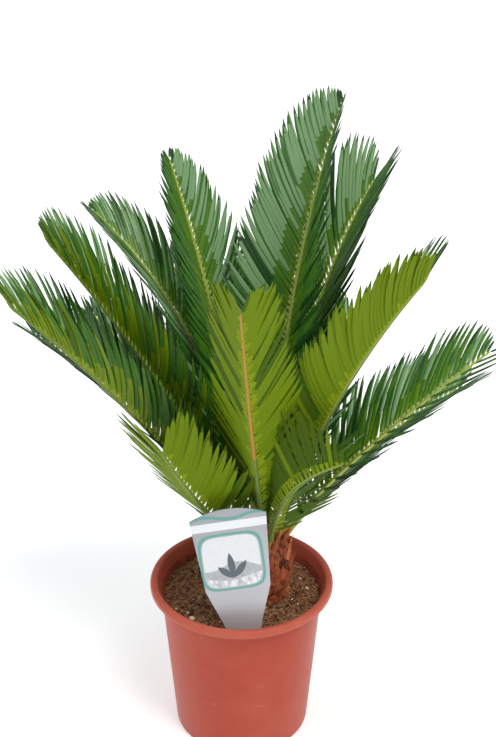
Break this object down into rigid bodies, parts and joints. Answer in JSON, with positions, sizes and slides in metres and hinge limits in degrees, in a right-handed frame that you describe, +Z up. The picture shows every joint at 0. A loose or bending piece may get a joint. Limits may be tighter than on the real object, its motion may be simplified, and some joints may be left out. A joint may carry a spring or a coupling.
{
  "type": "potted sago palm",
  "caption": "Young sago palm in a round nursery pot: a scaly bulb trunk in soil, a crown of stiff feathery fronds all round, and a plant label in front.",
  "frame": {"origin": "centre of the pot's flat underside, where it stands", "axes": "+Z up; -Y towards the front, where the plant label stands; +X to the right seen from the front"},
  "size_m": [0.4457, 0.366, 0.6046],
  "materials": {
    "pot_plastic": "satin terracotta moulded plastic",
    "soil": "crumbly damp peat mix",
    "label_card": "thin printed plastic, semi-gloss",
    "bark": "rough old leaf bases with fibres",
    "foliage": "leathery green, glossy above and matte below"
  },
  "bodies": {
    "root": {"pot": "pot_plastic", "soil": "soil", "label": "label_card", "trunk": "bark", "frond_left_low": "foliage", "frond_left_middle": "foliage", "frond_left_back": "foliage", "frond_back_left": "foliage", "frond_top": "foliage", "frond_top_right": "foliage", "frond_front": "foliage", "frond_right_front": "foliage", "frond_right_low": "foliage", "frond_right_front_low": "foliage", "frond_left_front_low": "foliage", "frond_back": "foliage", "frond_back_left_middle": "foliage", "frond_back_low": "foliage", "frond_back_left_low": "foliage", "frond_back_right_low": "foliage", "frond_left_back_low": "foliage"}
  },
  "joints": []
}
